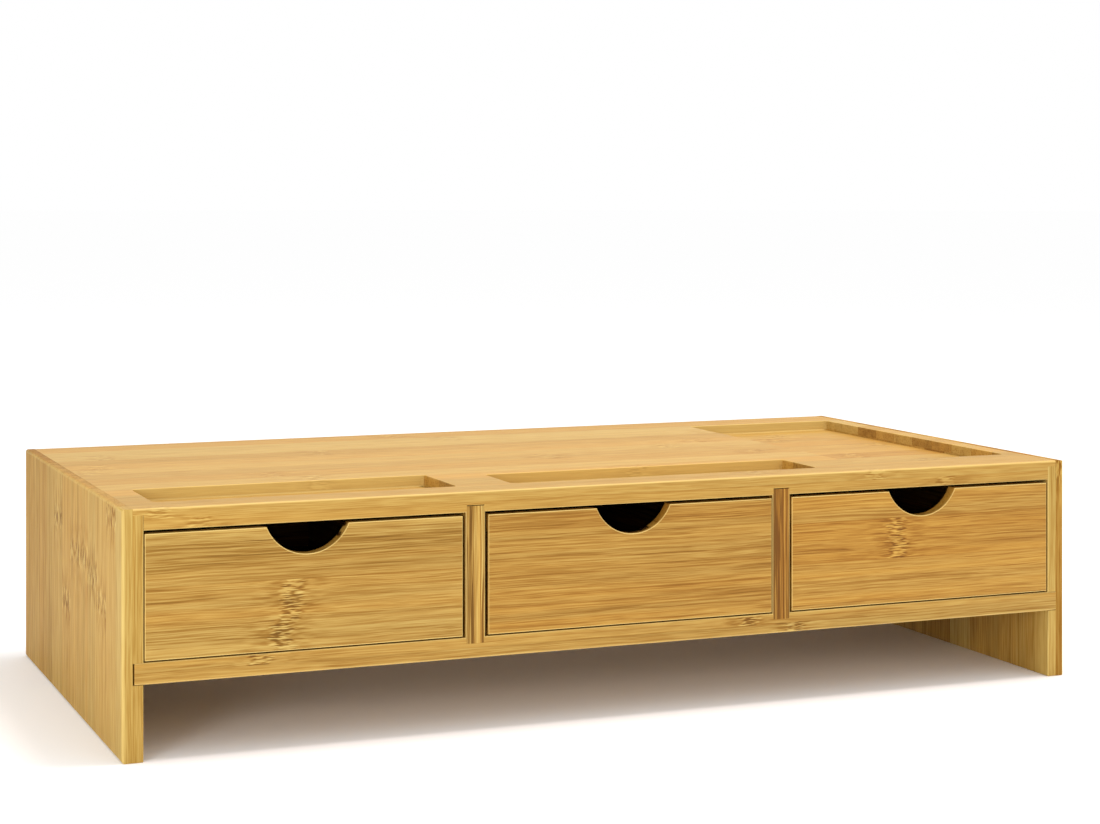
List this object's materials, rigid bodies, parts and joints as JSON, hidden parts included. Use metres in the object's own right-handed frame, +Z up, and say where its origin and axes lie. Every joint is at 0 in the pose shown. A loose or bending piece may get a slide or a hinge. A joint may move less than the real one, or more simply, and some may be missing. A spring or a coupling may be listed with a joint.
{
  "type": "monitor stand",
  "caption": "Low bamboo stand that raises a monitor over a row of notch-pull drawers, with routed trays in its top and a keyboard bay beneath.",
  "frame": {"origin": "middle of the footprint, on the surface the stand rests on", "axes": "+X to the user's right along the width, +Y to the back, +Z up; the drawers open towards -Y"},
  "size_m": [0.51, 0.25, 0.115],
  "materials": {
    "bamboo_top": "bamboo strips along the width, clear satin lacquer",
    "bamboo_side": "upright bamboo strips, clear satin lacquer",
    "bamboo_case": "laminated bamboo, clear satin lacquer",
    "bamboo_drawer_front": "bamboo strips along the width, clear satin lacquer",
    "bamboo_drawer_box": "sanded bamboo",
    "bamboo_drawer_bottom": "thin bamboo board"
  },
  "bodies": {
    "case": {"top_panel": "bamboo_top", "left_side_panel": "bamboo_side", "right_side_panel": "bamboo_side", "shelf_panel": "bamboo_case", "left_divider": "bamboo_case", "right_divider": "bamboo_case", "back_panel": "bamboo_case"},
    "left_drawer": {"left_drawer_front": "bamboo_drawer_front", "left_drawer_left_side": "bamboo_drawer_box", "left_drawer_right_side": "bamboo_drawer_box", "left_drawer_back": "bamboo_drawer_box", "left_drawer_bottom": "bamboo_drawer_bottom"},
    "middle_drawer": {"middle_drawer_front": "bamboo_drawer_front", "middle_drawer_left_side": "bamboo_drawer_box", "middle_drawer_right_side": "bamboo_drawer_box", "middle_drawer_back": "bamboo_drawer_box", "middle_drawer_bottom": "bamboo_drawer_bottom"},
    "right_drawer": {"right_drawer_front": "bamboo_drawer_front", "right_drawer_left_side": "bamboo_drawer_box", "right_drawer_right_side": "bamboo_drawer_box", "right_drawer_back": "bamboo_drawer_box", "right_drawer_bottom": "bamboo_drawer_bottom"}
  },
  "joints": [
    {"name": "left_drawer_slide", "type": "slide", "parent": "case", "child": "left_drawer", "axis": [0, -1, 0], "range_m": [0, 0.19]},
    {"name": "middle_drawer_slide", "type": "slide", "parent": "case", "child": "middle_drawer", "axis": [0, -1, 0], "range_m": [0, 0.19]},
    {"name": "right_drawer_slide", "type": "slide", "parent": "case", "child": "right_drawer", "axis": [0, -1, 0], "range_m": [0, 0.19]}
  ]
}
